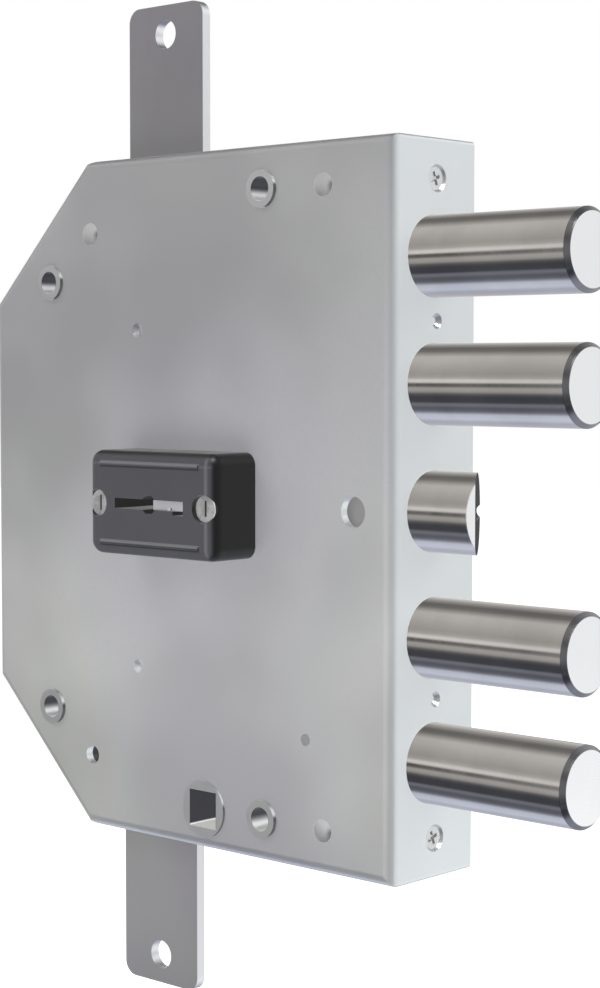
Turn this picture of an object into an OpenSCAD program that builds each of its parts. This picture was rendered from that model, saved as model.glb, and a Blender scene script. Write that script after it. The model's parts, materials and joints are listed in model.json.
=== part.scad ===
// Rim lock with four round bolts, a bevelled latch and two locking rods.
// X runs towards the thrown bolts, Z runs up, and the face seen in the room looks towards -Y.
// The origin is where the key's axis meets the back of the case, which lies on the door.

/* [Case] */
// Distance from the key axis to the outer front face
backset = 62; // [58:0.5:70]
// Width of the case from the front face to the rear
case_w = 133.5; // [128:0.5:140]
// Height of the case
case_h = 164; // [162:0.5:180]
// Thickness of the case
case_t = 28; // [27.6:0.1:32]
// Thickness of the case's sheet steel
sheet = 2; // [1.5:0.1:2.2]
// Thickness of the back plate
back_sheet = 2; // [1.5:0.1:2.4]
// Length of the cut rear corners along X
corner_cut_x = 34.5; // [30:0.5:38]
// Height of the cut rear corners along Z
corner_cut_z = 34; // [28:0.5:36]
// Radius of the rear corners in the plane of the face
corner_r = 9; // [4:0.5:14]
// Radius of the folds round the face
bend_r = 2.6; // [0.5:0.1:3]
// Gap round the back plate inside the case's walls
back_gap = 0.15; // [0.05:0.05:0.4]

/* [Bolts] */
// Diameter of the bolts and of the latch
bolt_d = 18; // [16:0.1:18.2]
// Height from the latch to the first bolt, and between neighbouring bolts
bolt_pitch = 28; // [27:0.25:28.5]
// How far the thrown bolts stand out of the front face
bolt_throw_out = 41.9; // [41:0.1:45]
// Length of a bolt that stays inside the front face when thrown
bolt_inside = 12; // [11:0.5:13]
// Travel of the bolts
bolt_travel = 41; // [36:0.5:41]
// Chamfer on a bolt's outer end
bolt_chamfer = 1; // [0.4:0.1:2]
// Radial running clearance of bolts, latch and follower
run_gap = 0.08; // [0.03:0.01:0.1]
// Diameter of the cross pins that hold the bolts
bolt_pin_d = 4; // [3:0.1:5]
// Depth of the slot in a bolt's tail
tail_slot = 9; // [7:0.5:10]

/* [Latch] */
// How far the latch stands out of the front face
latch_out = 16.3; // [14:0.1:18]
// Length of the latch inside the front face
latch_inside = 14; // [13:0.5:16]
// Travel of the latch
latch_travel = 15; // [12:0.5:15]
// Depth of the flat strip at the latch's tip
latch_flat = 3; // [1:0.1:4]
// Angle between the latch's bevel and the front face
latch_bevel = 34.5; // [30:0.5:40]
// Radius of the groove in the bevel
groove_r = 1.6; // [1:0.1:2.5]
// Diameter of the spring bore in the latch
latch_bore_d = 8.6; // [8:0.1:9]
// Length of the spring bore in the latch
latch_bore_l = 20; // [17:0.5:21]
// Diameter of the latch's drive pin
latch_pin_d = 4; // [3:0.1:5]
// Head diameter of the latch's drive pin
latch_head_d = 9.6; // [8.6:0.1:10]
// Distance from the front face to the drive pin
latch_pin_back = 11.3; // [10:0.1:12.5]
// Wire diameter of the latch spring
latch_wire = 0.8; // [0.6:0.1:1]
// Number of turns of the latch spring
latch_turns = 9; // [6:1:12]

/* [Guide plate and front screws] */
// Thickness of the plate that guides the bolts
guide_t = 4; // [3:0.5:5]
// Distance of the guide plate from the top and bottom of the case
guide_in = 5; // [4.5:0.1:6]
// Distance of the front screws from the top and bottom of the case
front_screw_in = 8.95; // [8.5:0.05:10]
// Diameter of the countersinks for the front screws
front_head_d = 6; // [4.6:0.1:7]
// Shank diameter of the front screws
front_shank_d = 3; // [2:0.1:3.6]
// Distance of the front screws from the back of the case
front_row = 13.1; // [12.5:0.1:14.5]
// Height between the two small dimples in the front face
small_hole_gap = 83.8; // [82:0.2:86]
// Diameter of the small dimples in the front face
small_hole_d = 3.5; // [2:0.1:4]

/* [Fixing bushes and posts] */
// Inner diameter of the fixing bushes
bush_in_d = 5.4; // [4:0.1:6]
// Outer diameter of the fixing bushes
bush_out_d = 8.6; // [8.4:0.1:10]
// How far a bush stands proud of the face
bush_proud = 0.9; // [0.3:0.1:1.5]
// Distance of the front bushes from the key axis, towards the bolts
bush_front_x = 23.2; // [23:0.1:25]
// Distance of the front bushes from the top and bottom of the case
bush_front_in = 10; // [9.5:0.1:10.8]
// Distance of the rear bushes from the rear of the case
bush_rear_in = 22; // [21:0.1:22.5]
// Distance of the rear bushes from the top and bottom of the case, before the drop
bush_rear_down = 28.8; // [28:0.1:29.2]
// How far the two rear bushes together sit below the middle of the case
bush_rear_drop = 0.5; // [0:0.1:1]
// Diameter of the posts that hold the back plate
post_d = 7; // [6:0.1:7.4]
// Diameter of a post's riveted end in the face
post_rivet_d = 5.2; // [3:0.1:5.4]
// How far a riveted end stands proud of the face
post_rivet_proud = 0.5; // [0.2:0.1:1]
// Diameter of the open hole in front of the lower rear post
post_hole_d = 4.6; // [3.5:0.1:5]
// Diameter of the two locating dimples in the face
dimple_d = 3.4; // [2:0.1:4]
// Distance of the rear posts from the key axis, away from the bolts
post_rear_x = 35; // [34.8:0.1:36]
// Distance of the rear posts from the top and bottom of the case
post_rear_in = 17.7; // [17:0.1:19]
// Distance of the front posts from the key axis, towards the bolts
post_front_x = 41.7; // [39:0.1:44]
// Distance of the front posts from the top and bottom of the case
post_front_in = 10; // [8:0.1:12]
// Head diameter of the back plate's screws
back_head_d = 6.6; // [6:0.1:7]
// Shank diameter of the back plate's screws
back_shank_d = 3; // [2.5:0.1:3.2]

/* [Key block and rotor] */
// Width of the key block
block_w = 42; // [40:0.5:46]
// Height of the key block
block_h = 24.5; // [22:0.5:28]
// How far the key block stands off the face
block_t = 13.8; // [10:0.5:16]
// Radius of the key block's edges and corners
block_r = 3; // [1:0.1:4]
// Distance between the key block's screws
block_screw_gap = 35.1; // [34.5:0.1:36]
// How far the key block's screws sit below the keyhole's middle
block_screw_drop = 0.2; // [0:0.05:1]
// Head diameter of the key block's screws
block_head_d = 6.1; // [5:0.1:6.3]
// Shank diameter of the key block's screws
block_shank_d = 3; // [2.5:0.1:3.5]
// Depth of the recess above a key block screw
block_sink = 1.1; // [0.3:0.1:1.5]
// Length of the keyhole
keyhole_l = 22.8; // [22:0.2:24]
// Height of the keyhole's slot
keyhole_h = 2.4; // [2.2:0.1:3.4]
// Diameter of the keyhole's round middle
keyhole_d = 4.6; // [4:0.1:6]
// Length of the step at one end of the keyhole
ward_l = 3.4; // [2:0.1:5]
// Height of the step at one end of the keyhole
ward_h = 0.9; // [0.4:0.1:1.2]
// Diameter of the key rotor
rotor_d = 28; // [27:0.5:28.5]
// Thickness of the key rotor
rotor_t = 4.8; // [3:0.1:5]
// Outer diameter of the rotor's ring
ring_d = 33.6; // [32:0.1:34]
// Thickness of the hardened plate behind the face
guard_t = 2.4; // [1.5:0.1:2.4]

/* [Carriage and levers] */
// Thickness of the carriage plate
carriage_t = 3; // [2:0.1:3.1]
// Distance of the carriage plate from the top and bottom of the case
carriage_in = 17.6; // [17.5:0.1:18.5]
// Half the height of the carriage's key window
window_half = 17; // [14:0.5:18]
// Height of the levers' stump
stump_h = 5; // [4:0.1:6]
// Width of the levers' stump
stump_w = 5; // [4:0.1:6]
// Number of levers
lever_count = 5; // [3:1:5]
// Thickness of a lever
lever_t = 1.4; // [1:0.1:1.4]
// Gap between neighbouring levers
lever_gap = 0.3; // [0.2:0.05:0.4]
// How far a lever drops from the height where a key holds it
lever_drop = 3; // [2:0.1:3.2]
// Clearance of the stump in a lever's corridor
gate_gap = 0.35; // [0.3:0.05:0.5]
// Diameter of the carriage's guide posts
guide_post_d = 5; // [4:0.1:5.4]
// Distance of the guide posts from the key axis, towards the bolts
guide_post_x = 2.8; // [2.4:0.1:3.4]
// Half the height between the guide posts
guide_post_z = 46; // [45:0.2:47]
// Diameter of the levers' guide pins
lever_pin_d = 4; // [3:0.1:4]

/* [Rods] */
// Width of the rods
rod_w = 25.4; // [20:0.5:25.5]
// Thickness of the rods
rod_t = 2.5; // [2:0.1:2.5]
// Distance of the rods' middle line from the key axis, away from the bolts
rod_x = 18.3; // [18:0.1:19]
// Height of the thrown upper rod's end
rod_reach = 119; // [110:0.5:130]
// Depth of the thrown lower rod's end
rod_reach_low = 120; // [110:0.5:130]
// Height of a thrown rod's inner end
rod_inner = 33.6; // [33.4:0.1:34]
// Travel of the rods
rod_travel = 16; // [12:0.5:16]
// Corner radius at a rod's outer end
rod_corner_r = 3.5; // [2:0.5:8]
// Diameter of the hole at a rod's outer end
rod_hole_d = 7; // [5:0.1:8]
// Distance from a rod's outer end to its hole
rod_hole_in = 7; // [6:0.5:12]
// Diameter of the pins that drive the rods
rod_pin_d = 5; // [4:0.1:5.2]
// Height of the rods' drive pins when thrown
rod_pin_z = 40.6; // [40:0.1:41]
// Clearance of a pin in its slot
slot_gap = 0.3; // [0.2:0.05:0.4]

/* [Handle follower and latch lever] */
// Distance of the follower from the key axis, towards the bolts
hub_x = 4.2; // [3.8:0.1:4.6]
// Distance of the follower from the bottom of the case
hub_in = 9.6; // [9.4:0.1:9.8]
// Outer diameter of the follower
hub_d = 13.5; // [13:0.1:14]
// Width across the follower's square socket
socket = 8.6; // [7:0.1:9]
// How far the follower stands proud of the face
hub_proud = 0.5; // [0.5:0.1:1.5]
// Length of the follower's finger from its axis
finger_l = 22.5; // [21:0.1:22.6]
// Direction of the follower's finger at rest, from the bolt side upwards
finger_angle = 80.6; // [80:0.2:83]
// Width of the finger and of the lever's tail
finger_w = 4.4; // [3.6:0.1:4.4]
// Distance of the latch lever's pivot from the key axis
pivot_x = 36.5; // [36.2:0.1:36.8]
// Height of the latch lever's pivot above the follower
pivot_up = 20.3; // [20.1:0.1:20.6]
// Diameter of the latch lever's pivot
pivot_d = 4; // [3:0.1:5]
// Length of the latch lever's tail
tail_l = 27.3; // [27:0.1:27.6]
// Direction of the latch lever's tail at rest
tail_angle = 201.6; // [201:0.2:202]
// Thickness of the latch lever and of the follower's finger
lever_plate_t = 1.2; // [1:0.1:1.3]
// Diameter of the latch-changing hole in the face
access_d = 7; // [5:0.1:8]

/* [Hidden] */
$fn = 64;
eps = 0.01;
fit_gap = 0.05;
STEEL = [0.62, 0.63, 0.65];
LIGHT_STEEL = [0.82, 0.84, 0.85];
DARK_STEEL = [0.48, 0.48, 0.5];
NICKEL = [0.72, 0.7, 0.68];
BLOCK_BLACK = [0.22, 0.22, 0.24];
BRASS = [0.72, 0.6, 0.34];

x_front = backset;
x_rear = backset - case_w;
z_top = case_h / 2;
guide_h = case_h - 2 * guide_in;
front_screw_gap = case_h - 2 * front_screw_in;
bush_front_z = z_top - bush_front_in;
bush_rear_x = -x_rear - bush_rear_in;
bush_rear_z = z_top - bush_rear_down;
post_rear_z = z_top - post_rear_in;
post_front_z = z_top - post_front_in;
carriage_half = z_top - carriage_in;
hub_z = z_top - hub_in;
pivot_z = hub_z - pivot_up;
y_face = -case_t;
y_inside = y_face + sheet;
y_mid = -case_t / 2;
x_inside = x_front - sheet;
outline_corners = [
    [x_front, -z_top],
    [x_front, z_top],
    [x_rear + corner_cut_x, z_top],
    [x_rear, z_top - corner_cut_z],
    [x_rear, -z_top + corner_cut_z],
    [x_rear + corner_cut_x, -z_top]
];
front_corner_r = 0.8;
outline_radii = [front_corner_r, front_corner_r, corner_r, corner_r, corner_r, corner_r];
inner_radii = [for (r = outline_radii) max(r - sheet, 0.3)];

// Depth layers, from the face to the back
carriage_y0 = y_mid - carriage_t / 2;
carriage_y1 = y_mid + carriage_t / 2;
layer_gap = 0.25;
upper_rod_y1 = carriage_y0 - layer_gap;
upper_rod_y0 = upper_rod_y1 - rod_t;
lower_rod_y1 = upper_rod_y0;
lower_rod_y0 = lower_rod_y1 - rod_t;
head_gap = 0.3;
pin_head_t = 0.5;
link_gap = 0.2;
link_y0 = y_inside + head_gap + pin_head_t + link_gap;
link_y1 = link_y0 + lever_plate_t;
guard_y1 = y_inside + guard_t;
rotor_y0 = guard_y1 + 0.1;
rotor_y1 = rotor_y0 + rotor_t;
lip_y1 = rotor_y1 + 1.4;
levers_y0 = carriage_y1 + 0.6;
levers_y1 = levers_y0 + lever_count * (lever_t + lever_gap) - lever_gap;
back_y0 = -back_sheet;

// Bolts and carriage
bolt_x0 = x_front - bolt_inside;
bolt_x1 = x_front + bolt_throw_out;
bolt_rows = [2, 1, -1, -2];
tab_half = 6;
tab_end = bolt_x0 + tail_slot - 1;
slot_t = carriage_t + 0.2;
pin_x = bolt_x0 + tail_slot / 2;
plate_front = bolt_x0 - 1;
rod_slot_w = rod_pin_d + 2 * slot_gap;
slot_rim = 4;
plate_rear = -rod_x - rod_slot_w / 2 - slot_rim;
low_top = rod_pin_z + rod_slot_w / 2 + slot_rim;
step_x = guide_post_x - guide_post_d / 2 - slot_gap - 2;
post_pass_x = -post_rear_x + post_d / 2 + bolt_travel + 0.8;
post_pass_z = post_rear_z - post_d / 2 - 0.4;
bridge_w = 10;
bridge_front = plate_rear + bridge_w;
tooth_w = 4;
tooth_h = 6;
tooth_pitch = 10.25;
tooth_count = 4;
tooth_x0 = -6;
stump_x = bridge_front - stump_w / 2 - 0.5;

// Levers
corridor = stump_h / 2 + gate_gap;
lever_left = stump_x - bolt_travel - stump_w / 2 - 4.2;
lever_right = 24;
lever_low = -15;
lever_high = 17;
pocket_half = stump_w / 2 + 1;
lever_pin_1 = [18, 0];
lever_pin_2 = [-38, 10];
lever_cuts = [0, 1.2, 0.6, 1.6, 0.3];
aperture_r = 12.4;
comb_x = -22;
comb_rise = 6.5;
comb_reach = 28;
comb_wire = 0.6;
finger_base_w = 4;

// Latch and its lever
latch_x0 = x_front - latch_inside;
latch_x1 = x_front + latch_out;
latch_pin_x = x_front - latch_pin_back;
bore_end = latch_x0 + latch_bore_l;
seat_x = latch_x0 - latch_travel - 5;
seat_t = 2;
spring_rod_d = 4;
spring_rod_end = latch_x0 + 2;
spring_r = latch_bore_d / 2 - latch_wire / 2 - 0.55;
pivot = [pivot_x, -pivot_z];
hub = [hub_x, -hub_z];
pin_place = [latch_pin_x, 0];
pin_place_in = [latch_pin_x - latch_travel, 0];
reach_out = norm(pin_place - pivot);
reach_in = norm(pin_place_in - pivot);
reach_least = min(reach_out, reach_in, latch_pin_x - latch_travel > pivot_x ? reach_in : pivot_z);
reach_most = max(reach_out, reach_in);
arm_dir = (pin_place - pivot) / reach_out;
tail_tip = pivot + tail_l * [cos(tail_angle), sin(tail_angle)];
finger_tip = hub + finger_l * [cos(finger_angle), sin(finger_angle)];
head_t = 0.5;

riveted_places = [
    [-post_rear_x, post_rear_z],
    [post_front_x, post_front_z],
    [post_front_x, -post_front_z]
];
open_place = [-post_rear_x, -post_rear_z];
post_places = concat(riveted_places, [open_place]);
bush_places = [
    [bush_front_x, bush_front_z],
    [bush_front_x, -bush_front_z],
    [-bush_rear_x, bush_rear_z - bush_rear_drop],
    [-bush_rear_x, -bush_rear_z - bush_rear_drop]
];

// The corner points of an outline drawn in by a distance, for points listed anticlockwise
function unit(v) = v / norm(v);
function out_normal(a, b) = [unit(b - a)[1], -unit(b - a)[0]];
function drawn_in(pts, d) = [
    for (i = [0 : len(pts) - 1])
        let (
            n = len(pts),
            before = out_normal(pts[(i + n - 1) % n], pts[i]),
            after = out_normal(pts[i], pts[(i + 1) % n])
        )
        pts[i] - d * (before + after) / (1 + before * after)
];

// The parts of one rounded corner: the two tangent points and the arc's centre
function to_before(pts, i) = unit(pts[(i + len(pts) - 1) % len(pts)] - pts[i]);
function to_after(pts, i) = unit(pts[(i + 1) % len(pts)] - pts[i]);
function half_angle(pts, i) = acos(to_before(pts, i) * to_after(pts, i)) / 2;
function tangent_points(pts, i, r) = [
    pts[i] + to_before(pts, i) * r / tan(half_angle(pts, i)),
    pts[i] + to_after(pts, i) * r / tan(half_angle(pts, i))
];
function arc_centre(pts, i, r) =
    pts[i] + unit(to_before(pts, i) + to_after(pts, i)) * r / sin(half_angle(pts, i));

module rounded_outline(pts, radii) {
    polygon([for (i = [0 : len(pts) - 1]) each tangent_points(pts, i, radii[i])]);
    for (i = [0 : len(pts) - 1])
        translate(arc_centre(pts, i, radii[i])) circle(r = radii[i]);
}

// A shape drawn in X and Z, made solid from depth y0 to depth y1
module slab(y0, y1) {
    translate([0, y1, 0]) rotate([90, 0, 0]) linear_extrude(y1 - y0) children();
}

// A round bar along Y
module bar_y(at, y0, y1, d) {
    translate([at[0], y1, at[1]]) rotate([90, 0, 0]) cylinder(d = d, h = y1 - y0);
}

// A round bar along X
module bar_x(y, z, x0, x1, d) {
    translate([x0, y, z]) rotate([0, 90, 0]) cylinder(d = d, h = x1 - x0);
}

// A flat bar with round ends between two points
module link_shape(a, b, w) {
    translate(a) circle(d = w);
    translate(b) circle(d = w);
    translate(a) rotate(atan2(b[1] - a[1], b[0] - a[0])) translate([0, -w / 2]) square([norm(b - a), w]);
}

// A flat arm that starts inside a boss and ends round
module arm_shape(a, b, w) {
    translate(b) circle(d = w);
    translate(a) rotate(atan2(b[1] - a[1], b[0] - a[0])) translate([0, -w / 2]) square([norm(b - a), w]);
}

// A rectangle with round corners between two corner points
module round_box(low, high, r) {
    translate(low + [r, 0]) square([high[0] - low[0] - 2 * r, high[1] - low[1]]);
    translate(low + [0, r]) square([high[0] - low[0], high[1] - low[1] - 2 * r]);
    for (x = [low[0] + r, high[0] - r])
        for (z = [low[1] + r, high[1] - r])
            translate([x, z]) circle(r = r);
}

// Takes the sharp edge off one fold of the face
module fold_cutter(a, b) {
    over = bend_r;
    run = norm(b - a) + 2 * over;
    translate([a[0], y_face, a[1]])
        rotate([0, -atan2(b[1] - a[1], b[0] - a[0]), 0])
            translate([-over, 0, 0])
                difference() {
                    translate([0, -1, -1]) cube([run, bend_r + 1, bend_r + 1]);
                    translate([-1, bend_r, bend_r]) rotate([0, 90, 0]) cylinder(r = bend_r, h = run + 2);
                }
}

module case_outline(inset, radii) {
    rounded_outline(drawn_in(outline_corners, inset), radii);
}

module keyhole_shape(extra) {
    square([keyhole_l + 2 * extra, keyhole_h + 2 * extra], center = true);
    circle(d = keyhole_d + 2 * extra);
    translate([keyhole_l / 2 - ward_l - extra, -keyhole_h / 2 - ward_h - extra])
        square([ward_l + 2 * extra, ward_h + 1]);
}

module rod_opening(y0, y1, side) {
    translate([-rod_x - rod_w / 2 - slot_gap, y0 - slot_gap, side > 0 ? z_top - 2 * sheet : -z_top - sheet])
        cube([rod_w + 2 * slot_gap, y1 - y0 + 2 * slot_gap, 3 * sheet]);
}

module case_shell() {
    dimple_depth = sheet * 0.45;
    small_depth = sheet * 0.55;
    color(STEEL)
    difference() {
        slab(y_face, 0) case_outline(0, outline_radii);
        slab(y_inside, 1) case_outline(sheet, inner_radii);
        for (i = [0 : len(outline_corners) - 1])
            fold_cutter(outline_corners[i], outline_corners[(i + 1) % len(outline_corners)]);
        for (row = bolt_rows)
            bar_x(y_mid, row * bolt_pitch, x_inside - 1, x_front + 1, bolt_d + 2 * run_gap);
        bar_x(y_mid, 0, x_inside - 1, x_front + 1, bolt_d + 2 * run_gap);
        for (side = [-1, 1]) {
            bar_x(-front_row, side * front_screw_gap / 2, x_inside - 1, x_front + 1, front_shank_d + 2 * fit_gap);
            translate([x_inside, -front_row, side * front_screw_gap / 2])
                rotate([0, 90, 0])
                    cylinder(d1 = front_shank_d + 2 * fit_gap, d2 = front_head_d + 2 * fit_gap, h = sheet + eps);
            translate([x_front - small_depth, -front_row, side * small_hole_gap / 2])
                rotate([0, 90, 0]) cylinder(d1 = small_hole_d / 2, d2 = small_hole_d, h = small_depth + eps);
            translate([-rod_x, y_face + dimple_depth, side * rod_pin_z])
                rotate([90, 0, 0]) cylinder(d1 = dimple_d / 3, d2 = dimple_d, h = dimple_depth + eps);
            bar_y([side * block_screw_gap / 2, -block_screw_drop], y_face - 1, y_inside + 1,
                block_shank_d + 2 * fit_gap);
        }
        for (place = bush_places)
            bar_y(place, y_face - 1, y_inside + 1, bush_out_d + 2 * fit_gap);
        for (place = riveted_places)
            bar_y(place, y_face - 1, y_inside + 1, post_rivet_d + 2 * fit_gap);
        bar_y(open_place, y_face - 1, y_inside + 1, post_hole_d);
        bar_y(hub, y_face - 1, y_inside + 1, hub_d + 2 * run_gap);
        bar_y(pivot, y_face - 1, y_inside + 1, pivot_d * 0.7 + 2 * fit_gap);
        bar_y([latch_pin_x, 0], y_face - 1, y_inside + 1, access_d);
        slab(y_face - 1, y_inside + 1) keyhole_shape(0.3);
        rod_opening(upper_rod_y0, upper_rod_y1, 1);
        rod_opening(lower_rod_y0, lower_rod_y1, -1);
    }
}

module back_plate() {
    color(STEEL)
    difference() {
        slab(back_y0, 0) case_outline(sheet + back_gap, inner_radii);
        for (place = bush_places)
            bar_y(place, back_y0 - 1, 1, bush_in_d);
        for (place = post_places) {
            bar_y(place, back_y0 - 1, 1, back_shank_d + 2 * fit_gap);
            translate([place[0], back_y0, place[1]])
                rotate([-90, 0, 0])
                    cylinder(d1 = back_shank_d + 2 * fit_gap, d2 = back_head_d + 2 * fit_gap, h = back_sheet + eps);
        }
        bar_y(hub, back_y0 - 1, 1, hub_d + 2 * run_gap);
        bar_y([0, 0], back_y0 - 1, 1, 2 * aperture_r + 1);
        for (side = [-1, 1])
            bar_y([guide_post_x, side * guide_post_z], back_y0 - 1, 1, guide_post_d * 0.6 + 2 * fit_gap);
        for (place = [lever_pin_1, lever_pin_2])
            bar_y(place, back_y0 - 1, 1, lever_pin_d * 0.6 + 2 * fit_gap);
    }
}

module back_plate_screws() {
    color(LIGHT_STEEL)
    for (place = post_places)
        difference() {
            union() {
                bar_y(place, back_y0 - 6, 0, back_shank_d);
                translate([place[0], back_y0, place[1]])
                    rotate([-90, 0, 0]) cylinder(d1 = back_shank_d, d2 = back_head_d, h = back_sheet);
            }
            translate([place[0] - back_head_d, -0.8, place[1] - 0.4]) cube([2 * back_head_d, 2, 0.8]);
        }
}

// The riveted ends are low domes, cut from a sphere
module rivet_dome(place) {
    dome_r = (pow(post_rivet_d / 2, 2) + pow(post_rivet_proud, 2)) / (2 * post_rivet_proud);
    intersection() {
        translate([place[0], y_face + dome_r - post_rivet_proud, place[1]]) sphere(r = dome_r);
        bar_y(place, y_face - 2 * post_rivet_proud, y_face + 0.5, post_rivet_d);
    }
}

module case_posts() {
    screw_room = 8;
    color(LIGHT_STEEL) {
        for (place = riveted_places)
            difference() {
                union() {
                    bar_y(place, y_inside, back_y0, post_d);
                    bar_y(place, y_face, y_inside + 1, post_rivet_d);
                    rivet_dome(place);
                }
                bar_y(place, back_y0 - screw_room, 1, back_shank_d + 2 * fit_gap);
            }
        difference() {
            bar_y(open_place, y_inside, back_y0, post_d);
            bar_y(open_place, y_inside - 1, back_y0 - screw_room, post_hole_d);
            bar_y(open_place, back_y0 - screw_room - 1, 1, back_shank_d + 2 * fit_gap);
        }
    }
}

module fixing_bushes() {
    color(LIGHT_STEEL)
    for (place = bush_places)
        difference() {
            bar_y(place, y_face - bush_proud, back_y0, bush_out_d);
            bar_y(place, y_face - bush_proud - 1, back_y0 + 1, bush_in_d);
        }
}

module bolt_guide_plate() {
    color(DARK_STEEL)
    difference() {
        translate([x_inside - guide_t, y_inside, -guide_h / 2])
            cube([guide_t, case_t - sheet - back_sheet, guide_h]);
        for (row = bolt_rows)
            bar_x(y_mid, row * bolt_pitch, x_inside - guide_t - 1, x_inside + 1, bolt_d + 2 * run_gap);
        bar_x(y_mid, 0, x_inside - guide_t - 1, x_inside + 1, bolt_d + 2 * run_gap);
        for (side = [-1, 1])
            bar_x(-front_row, side * front_screw_gap / 2, x_inside - guide_t - 1, x_inside + 1,
                front_shank_d + 2 * fit_gap);
    }
}

module front_screws() {
    head_drop = 0.6;
    cone_h = sheet - head_drop;
    rim_d = front_shank_d + (front_head_d - front_shank_d) * cone_h / sheet;
    cross_w = 0.8;
    cross_l = rim_d * 0.62;
    color(LIGHT_STEEL)
    for (side = [-1, 1])
        difference() {
            union() {
                bar_x(-front_row, side * front_screw_gap / 2, x_inside - guide_t - 1, x_inside + 1, front_shank_d);
                translate([x_inside, -front_row, side * front_screw_gap / 2])
                    rotate([0, 90, 0]) cylinder(d1 = front_shank_d, d2 = rim_d, h = cone_h);
            }
            translate([x_inside + cone_h, -front_row, side * front_screw_gap / 2]) rotate([20, 0, 0]) {
                cube([2, cross_w, cross_l], center = true);
                cube([2, cross_l, cross_w], center = true);
            }
        }
}

// A block with round edges all round its outer face
module key_block() {
    side_x = block_w / 2 - block_r;
    side_z = block_h / 2 - block_r;
    round_y = y_face - block_t + block_r;
    rib_d = 1;
    rib_rise = 0.35;
    rib_half = side_x - 1.6;
    recess_d = block_head_d + 0.4;
    color(BLOCK_BLACK)
    difference() {
        union() {
            slab(round_y, y_face) round_box([-block_w / 2, -block_h / 2], [block_w / 2, block_h / 2], block_r);
            translate([-side_x, y_face - block_t, -side_z]) cube([2 * side_x, block_t, 2 * side_z]);
            for (side = [-1, 1]) {
                bar_x(round_y, side * side_z, -side_x, side_x, 2 * block_r);
                translate([side * side_x, round_y, -side_z]) cylinder(r = block_r, h = 2 * side_z);
                bar_x(y_face - block_t + rib_d / 2 - rib_rise, side * side_z, -rib_half, rib_half, rib_d);
                for (end = [-1, 1])
                    translate([side * side_x, round_y, end * side_z]) sphere(r = block_r);
            }
        }
        slab(y_face - block_t - 1, y_face + 1) keyhole_shape(0);
        for (side = [-1, 1]) {
            bar_y([side * block_screw_gap / 2, -block_screw_drop], y_face - block_t - 1, y_face + 1,
                block_shank_d + 2 * fit_gap);
            bar_y([side * block_screw_gap / 2, -block_screw_drop], y_face - block_t - 1,
                y_face - block_t + block_sink + 2, recess_d);
        }
    }
}

module key_block_screws() {
    head_y0 = y_face - block_t + block_sink;
    color(LIGHT_STEEL)
    for (side = [-1, 1])
        difference() {
            union() {
                bar_y([side * block_screw_gap / 2, -block_screw_drop], head_y0, head_y0 + 2, block_head_d);
                bar_y([side * block_screw_gap / 2, -block_screw_drop], head_y0 + 1, guard_y1, block_shank_d);
            }
            translate([side * block_screw_gap / 2, head_y0, -block_screw_drop])
                cube([0.8, 1.6, block_head_d * 0.6], center = true);
        }
}

module guard_plate() {
    half = [ring_d / 2 + 4.5, ring_d / 2];
    color(DARK_STEEL)
    difference() {
        slab(y_inside, guard_y1) round_box(-half, half, 3);
        slab(y_inside - 1, guard_y1 + 1) keyhole_shape(0.3);
        for (side = [-1, 1])
            bar_y([side * block_screw_gap / 2, -block_screw_drop], y_inside - 1, guard_y1 + 1,
                block_shank_d + 2 * fit_gap);
    }
}

module rotor_ring() {
    color(STEEL)
    difference() {
        bar_y([0, 0], guard_y1, lip_y1, ring_d);
        bar_y([0, 0], guard_y1 - 1, rotor_y1 + 0.1, rotor_d + 2 * run_gap);
        bar_y([0, 0], rotor_y1 - 1, lip_y1 + 1, 2 * aperture_r);
    }
}

module key_rotor() {
    color(BRASS)
    difference() {
        bar_y([0, 0], rotor_y0, rotor_y1, rotor_d);
        slab(rotor_y0 - 1, rotor_y1 + 1) keyhole_shape(0.2);
    }
}

module carriage_guide_posts() {
    color(LIGHT_STEEL)
    for (side = [-1, 1]) {
        bar_y([guide_post_x, side * guide_post_z], y_inside, back_y0, guide_post_d);
        bar_y([guide_post_x, side * guide_post_z], back_y0 - 1, 0, guide_post_d * 0.6);
    }
}

module lever_guide_pins() {
    color(LIGHT_STEEL)
    for (place = [lever_pin_1, lever_pin_2]) {
        bar_y(place, carriage_y1 + layer_gap, back_y0, lever_pin_d);
        bar_y(place, back_y0 - 1, 0, lever_pin_d * 0.6);
    }
}

module lever_spring_comb() {
    top = lever_high + comb_rise;
    color(BRASS)
    union() {
        slab(levers_y0, back_y0)
            translate([comb_x - finger_base_w / 2, top - 1]) square([finger_base_w, 5]);
        for (i = [0 : lever_count - 1])
            slab(levers_y0 + i * (lever_t + lever_gap), levers_y0 + i * (lever_t + lever_gap) + lever_t)
                link_shape([comb_x, top], [comb_x - comb_reach, lever_high + comb_wire / 2 + 0.3], comb_wire);
    }
}

module latch_spring_rod() {
    seat_half = 8;
    color(LIGHT_STEEL)
    union() {
        translate([seat_x - seat_t, y_mid - seat_half, -seat_half])
            cube([seat_t, back_y0 - y_mid + seat_half, 2 * seat_half]);
        translate([seat_x - seat_t, back_y0 - seat_t, -seat_half])
            cube([4 * seat_t, seat_t, 2 * seat_half]);
        bar_x(y_mid, 0, seat_x - 1, spring_rod_end, spring_rod_d);
    }
}

module latch_lever_stud() {
    color(LIGHT_STEEL)
    union() {
        bar_y(pivot, y_face, y_inside + 1, pivot_d * 0.7);
        bar_y(pivot, y_inside, link_y1 + eps, pivot_d);
        bar_y(pivot, link_y1 + eps, link_y1 + head_t, pivot_d + 3);
    }
}

// The outline of the carriage plate: the corners of its upper half, then the same ones below
upper_corners = [
    [plate_front, window_half],
    [plate_front, carriage_half],
    [post_pass_x, carriage_half],
    [post_pass_x, post_pass_z],
    [step_x, post_pass_z],
    [step_x, low_top],
    [plate_rear, low_top]
];
window_corner = [bridge_front, window_half];

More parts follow.
